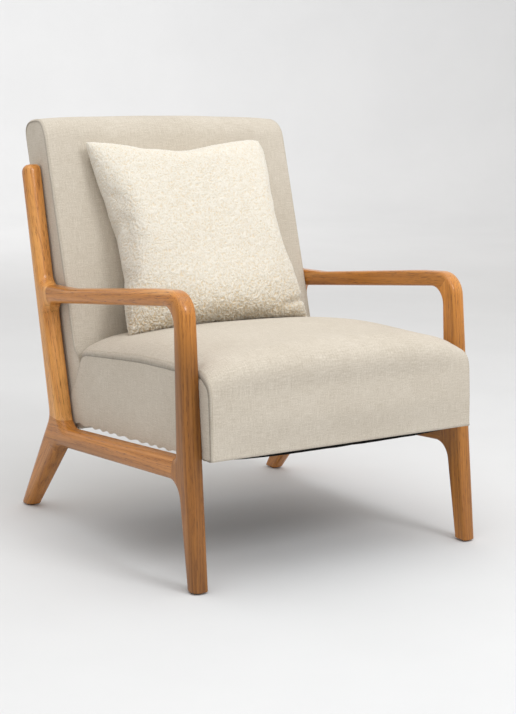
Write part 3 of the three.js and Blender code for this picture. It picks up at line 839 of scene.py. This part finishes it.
def cloth_inflate(obj, pressure, cap, frames=20):
    """Swells a closed mesh with Blender's cloth, no point moving further than cap."""
    rest = coordinates(obj.data)
    cloth = modifier(obj, "CLOTH")
    settings = cloth.settings
    settings.quality = 6
    settings.mass = 0.3
    settings.tension_stiffness = settings.compression_stiffness = 22
    settings.shear_stiffness = 8
    settings.bending_stiffness = 1.2
    settings.use_pressure = True
    settings.uniform_pressure_force = pressure
    settings.effector_weights.gravity = 0
    cloth.collision_settings.use_collision = False
    scene = bpy.context.scene
    scene.frame_start, scene.frame_end = 1, frames
    cloth.point_cache.frame_end = frames
    for number in range(1, frames + 1):
        scene.frame_set(number)
    graph = bpy.context.evaluated_depsgraph_get()
    swollen = coordinates(obj.evaluated_get(graph).data)
    obj.modifiers.clear()
    scene.frame_set(1)
    move = swollen - rest
    length = np.linalg.norm(move, axis=1)[:, None] + 1e-9
    set_coordinates(obj.data, rest + move / length * cap * np.tanh(length / cap))


def flat_cushion():
    """Two square panels sewn together at the rim, only a little apart in the middle."""
    n = CUSHION_CELLS
    span = np.linspace(-1, 1, n + 1)
    half = CUSHION_FLAT / 2
    bm = bmesh.new()
    sheets = []
    for face in (1, -1):
        rows = []
        for i, v in enumerate(span):
            row = []
            for j, u in enumerate(span):
                rim = i in (0, n) or j in (0, n)
                if rim and sheets:
                    row.append(sheets[0][i][j])
                    continue
                full = ((1 - u ** 4) * (1 - v ** 4)) ** 0.6
                row.append(bm.verts.new((half * u, half * v, face * CUSHION_LOFT * full)))
            rows.append(row)
        sheets.append(rows)
        for i in range(n):
            for j in range(n):
                quad = [rows[i][j], rows[i][j + 1], rows[i + 1][j + 1], rows[i + 1][j]]
                bm.faces.new(quad if face > 0 else quad[::-1])
    return mesh_object("boucle_cushion", bm)


def cushion_pose():
    """Place of the cushion: its middle, and its directions across, up and outward."""
    co = unique_points("scatter_cushion")
    middle = (co.min(0) + co.max(0)) / 2
    axes = np.linalg.svd(co - co.mean(0), full_matrices=False)[2]
    normal = axes[2] if axes[2][1] < 0 else -axes[2]
    corners = co[np.argsort(-np.linalg.norm(co - middle, axis=1))[:16]]
    right = [c for c in corners if c[0] > middle[0]]
    up = np.mean([c for c in right if c[2] > middle[2]], 0) - np.mean(
        [c for c in right if c[2] < middle[2]], 0)
    up -= normal * (up @ normal)
    up /= np.linalg.norm(up)
    return Vector(middle), Vector(np.cross(up, normal)), Vector(up), Vector(normal)


def build_cushion(material, obstacles):
    obj = flat_cushion()
    flat = coordinates(obj.data)
    weave = flat.copy()
    weave[:, 2] = np.sign(flat[:, 2]) * 0.5
    cloth_inflate(obj, pressure=5.0, cap=75 * MM)
    set_vectors(obj.data, "weave", weave)
    modifier(obj, "SMOOTH", factor=0.5, iterations=CREASE_PASSES)
    modifier(obj, "SUBSURF", levels=2, render_levels=2)
    apply_modifiers(obj)
    co = pinch_corner(settle_top(rest_lower_edge(coordinates(obj.data))))
    middle, across, up, normal = cushion_pose()
    place = Matrix((across, up, normal)).transposed()
    scale = CUSHION_WIDTH / (co[:, 0].max() - co[:, 0].min())
    world = (co * scale) @ np.array(place).T + np.array(middle)
    world = push_out(world, obstacles)
    set_coordinates(obj.data, world)
    curl(obj)
    finished(obj, "cushion", material, "scatter_cushion", slot="boucle")


EDGE_COLUMNS = 40              # places along the lower edge where its height is taken


def rest_lower_edge(co):
    """Lets the lower edge, which the filling has drawn up, hang straight and rest its weight."""
    width, bottom = co[:, 0].max(), co[:, 1].min()
    edges = np.linspace(-width, width, EDGE_COLUMNS + 1)
    column = np.clip(np.digitize(co[:, 0], edges) - 1, 0, EDGE_COLUMNS - 1)
    lowest = np.array([co[column == k, 1].min() if (column == k).any() else bottom
                       for k in range(EDGE_COLUMNS)])
    lowest = np.convolve(np.pad(lowest, 3, mode="edge"), np.ones(7) / 7, mode="valid")
    rise = np.interp(co[:, 0], (edges[:-1] + edges[1:]) / 2, lowest) - bottom
    weight = 1 - smoothstep(co[:, 1], bottom, bottom + 0.17)
    out = co.copy()
    out[:, 1] -= rise * weight * 1.05
    low = 1 - smoothstep(co[:, 1], bottom + 0.01, bottom + 0.15)
    rim = smoothstep(np.abs(co[:, 2]), 0, 12 * MM)
    out[:, 2] += np.sign(co[:, 2]) * 9 * MM * low * rim * (1 - (co[:, 0] / width) ** 4)
    return out


def settle_top(co):
    """Lets the top edge sag left of its middle, and blunts the corner at the sitter's left."""
    width, top = co[:, 0].max(), co[:, 1].max()
    u, v = co[:, 0] / width, co[:, 1] / top
    out = co.copy()
    corner = smoothstep(u, 0.2, 1.0) * smoothstep(v, 0.1, 1.0)
    dip = np.exp(-(((u + 0.2) / 0.4) ** 2)) * smoothstep(v, 0.2, 1.0)
    out[:, 1] -= 9 * MM * corner + 6 * MM * dip
    blunt = smoothstep(u + v, 1.75, 1.98)
    out[:, 0] -= 4 * MM * corner ** 2 + 6 * MM * blunt
    out[:, 1] -= 4 * MM * blunt
    return out


def pinch_corner(co):
    """A short fold that runs in from the lower corner at the sitter's left."""
    width, bottom = co[:, 0].max(), co[:, 1].min()
    run = (width - co[:, 0]) / (85 * MM)
    line = bottom + 38 * MM - 22 * MM * run
    near = np.exp(-(((co[:, 1] - line) / (7 * MM)) ** 2)) * smoothstep(1 - run, 0, 0.5)
    out = co.copy()
    out[:, 2] -= np.where(co[:, 2] > 0, 1, 0) * 11 * MM * near
    return out


def push_out(points, obstacles, gap=0.8 * MM):
    """Moves points that lie inside a neighbour back out through its nearest surface."""
    for obstacle in obstacles:
        tree = BVHTree.FromObject(obstacle, bpy.context.evaluated_depsgraph_get())
        for index, point in enumerate(points):
            spot, normal, _, _ = tree.find_nearest(Vector(point), 0.06)
            if spot is None:
                continue
            depth = (Vector(point) - spot).dot(normal)
            if depth < gap and outward(normal):
                points[index] = np.array(Vector(point) + normal * (gap - depth))
    return points


def outward(normal):
    """True on the faces that a cushion can rest on: the seat's top and the back's front."""
    return normal.z > 0.3 or normal.y < -0.3


def curl(obj):
    """Raises the boucle's loops over the whole cushion, and stores how high each point is, for the
    material's painted shade.
    """
    mesh = obj.data
    co = coordinates(mesh)
    normals = np.array([v.normal[:] for v in mesh.vertices])
    height = np.empty(len(co))
    for index, point in enumerate(co):
        p = Vector(point)
        bend = noise.noise_vector(p * 80) * 0.005
        ridge = 1 - abs(noise.noise((p + bend) * LOOP_SCALE))
        height[index] = 0.6 * ridge ** 3 + 0.4 * abs(noise.noise(p * FINE_SCALE))
    height = np.clip((height - height.mean()) / (height.std() + 1e-9), -2, 2)
    shaggy = 1 - smoothstep(co[:, 2] - co[:, 2].min(), 0.02, 0.15)
    lift = height * (LOOP_RISE + SHAGGY_RISE * shaggy)
    set_coordinates(mesh, co + normals * lift[:, None])
    # painted shade for low loops; the colour is also darker towards the lower edge
    depth = np.clip(0.55 + (0.19 + 0.06 * shaggy) * height - 0.27 * shaggy, 0, 1)
    set_vectors(mesh, "depth", np.repeat(depth[:, None], 3, 1))


# ------------------------------ stage, lights, camera

CAMERA_PLACE = Vector((-1.700, -2.577, 0.904))
CAMERA_YAW, CAMERA_PITCH, CAMERA_ROLL = map(math.radians, (34.18, -10.38, 1.10))
CAMERA_LENS = 78.2


def build_camera():
    forward = Vector((math.sin(CAMERA_YAW) * math.cos(CAMERA_PITCH),
                      math.cos(CAMERA_YAW) * math.cos(CAMERA_PITCH), math.sin(CAMERA_PITCH)))
    right = forward.cross(Vector((0, 0, 1))).normalized()
    up = right.cross(forward)
    c, s = math.cos(CAMERA_ROLL), math.sin(CAMERA_ROLL)
    columns = (right * c + up * s, up * c - right * s, -forward)
    data = bpy.data.cameras.new("camera")
    data.lens = CAMERA_LENS
    data.sensor_width = 36
    camera = bpy.data.objects.new("camera", data)
    camera.matrix_world = (Matrix.Translation(CAMERA_PLACE)
                           @ Matrix(columns).transposed().to_4x4())
    bpy.context.scene.collection.objects.link(camera)
    bpy.context.scene.camera = camera


def build_stage():
    """A round floor that curves up into a wall on all sides."""
    floor, bend, wall = 6.5, 1.7, 0.8
    arc = np.linspace(0, math.pi / 2, 14)
    radii = np.r_[0.001, np.linspace(0.8, floor, 8), floor + bend * np.sin(arc[1:]), floor + bend]
    heights = np.r_[0, np.zeros(8), bend * (1 - np.cos(arc[1:])), bend + wall]
    angles = np.linspace(0, 2 * math.pi, 96, endpoint=False)
    points = np.array([[(r * math.cos(a), r * math.sin(a), z) for a in angles]
                       for r, z in zip(radii, heights)])
    obj = grid_object("backdrop", points, closed=True)
    obj.data.materials.append(plain("paper", (0.702, 0.709, 0.719), (0.682, 0.689, 0.699), 2.0, 0.9,
                                    bump=0.02))
    shade_smooth(obj)


def area_light(name, place, aim, size, power, colour=(1, 1, 1)):
    data = bpy.data.lights.new(name, "AREA")
    data.shape = "RECTANGLE"
    data.size, data.size_y = size
    data.energy = power
    data.color = colour
    light = bpy.data.objects.new(name, data)
    light.location = place
    light.rotation_mode = "QUATERNION"
    light.rotation_quaternion = (Vector(aim) - Vector(place)).to_track_quat("-Z", "Y")
    bpy.context.scene.collection.objects.link(light)


def build_lights():
    area_light("overhead", (-0.2, -0.7, 3.2), (0, -0.2, 0.3), (3.2, 3.0), 37, (0.93, 0.975, 1))
    area_light("key", (0.7, -3.0, 2.9), (0, 0, 0.4), (1.1, 1.1), 40, (0.98, 0.99, 1))
    area_light("backdrop_wash", (1.7, 4.6, 3.3), (2.5, 7.5, 1.4), (2.4, 1.0), 60)
    world = bpy.data.worlds.new("studio")
    world.use_nodes = True
    background = world.node_tree.nodes["Background"]
    background.inputs["Color"].default_value = (1, 0.976, 0.948, 1)
    background.inputs["Strength"].default_value = 0.93
    bpy.context.scene.world = world
    bpy.context.scene.view_settings.view_transform = "Standard"


# ------------------------------ everything


def hidden_pieces():
    """Better materials for the CAD nodes that stay as they are."""
    timber = plain("rough_timber", (0.62, 0.46, 0.29), (0.43, 0.29, 0.16), 5.0, 0.85,
                   bump=0.4, stretch=(9, 9, 9))
    looks = {
        "tenon_wood": plain("beech", (0.60, 0.38, 0.20), (0.45, 0.26, 0.12), 60, 0.6),
        "frame_timber": timber,
        "spring_steel": plain("spring_wire", (0.30, 0.30, 0.31), (0.18, 0.18, 0.19), 120, 0.45,
                              1.0),
        "steel": plain("zinc", (0.62, 0.62, 0.60), (0.45, 0.45, 0.44), 160, 0.4, 1.0),
        "felt": plain("felt", (0.42, 0.42, 0.40), (0.25, 0.25, 0.24), 700, 0.95, bump=0.5),
        "foam": plain("foam", (0.84, 0.78, 0.60), (0.70, 0.63, 0.45), 500, 0.95, bump=0.5),
        "webbing": plain("webbing", (0.16, 0.14, 0.13), (0.08, 0.07, 0.065), 500, 0.9, bump=0.4),
        "glide_felt": plain("glide", (0.07, 0.055, 0.045), (0.035, 0.028, 0.024), 900, 0.95,
                            bump=0.4),
    }
    for entry in frame["record"]["subparts"]:
        node = frame["nodes"][entry["node"]]
        if entry["material_slot"] in looks:
            node.data.materials.clear()
            node.data.materials.append(looks[entry["material_slot"]])


REAR_LIFT = 1.8 * MM           # rise just inside the rim, which lies REAR_SINK deep
REAR_SINK = 0.6 * MM
REAR_SWELL = 2.2 * MM
REAR_LUMPS = 0.8 * MM


def rear_cover(linen):
    """Outside back: a flat panel drawn tight over the frame."""
    low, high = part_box("back_rear_panel")
    corners = convex_outline(coordinates(frame["nodes"]["back_rear_panel"].data)[:, 1:])
    top = corners[np.argmax(corners[:, 0] + corners[:, 1])]
    foot = corners[np.argmax(corners[:, 0] - 2 * corners[:, 1])]
    along = (top - foot) / np.linalg.norm(top - foot)
    out = np.array([along[1], -along[0]])
    rows, cols = 90, 80
    vs = np.linspace(0, np.linalg.norm(top - foot) + 4 * MM, rows)
    xs = np.linspace(low.x + 3 * MM, high.x - 3 * MM, cols)
    points = np.empty((rows, cols, 3))
    for i, v in enumerate(vs):
        for j, x in enumerate(xs):
            s, t = 2 * i / (rows - 1) - 1, 2 * j / (cols - 1) - 1
            edge = min(1 - abs(s), 1 - abs(t))
            lift = REAR_LIFT * smoothstep(edge, 0, 0.04) - REAR_SINK
            lift += REAR_SWELL * (1 - s * s) * (1 - t * t)
            lift += REAR_LUMPS * lumps(0, v, x, size=120 * MM, seed=2.0)
            y, z = foot + along * v + out * lift
            points[i, j] = (x, y, z)
    obj = grid_object("rear_cover", points)
    weave = np.zeros_like(points)
    weave[..., 0], weave[..., 1] = xs[None, :], vs[:, None]
    set_vectors(obj.data, "weave", weave)
    bm = bmesh.new()
    bm.from_mesh(obj.data)
    bmesh.ops.reverse_faces(bm, faces=bm.faces)
    bm.to_mesh(obj.data)
    bm.free()
    thicken(obj)
    finished(obj, "chair", linen, "back_rear_panel", slot="linen")


def main():
    wood = oak()
    for number, side in enumerate(SIDES):
        build_side_frame(side, wood, 2.0 + 7.0 * number)
    linen = woven("linen", (0.70, 0.645, 0.56), (0.48, 0.42, 0.335))
    thread = woven("linen_thread", (0.60, 0.53, 0.42), (0.42, 0.36, 0.27), 0.5 * MM)
    build_upholstery("seat", linen, thread, seat_shape, ["seat_foam"])
    build_upholstery("back", linen, thread, back_shape, ["back_foam"])
    rear_cover(linen)
    black = woven("black_cloth", (0.022, 0.021, 0.021), (0.008, 0.008, 0.008), 0.6 * MM, 0.05)
    dust_cover(black)
    obstacles = [bpy.data.objects["seat_cover"], bpy.data.objects["back_cover"]]
    build_cushion(boucle(), obstacles)
    hidden_pieces()
    build_stage()
    build_lights()
    build_camera()
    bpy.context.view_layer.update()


main()
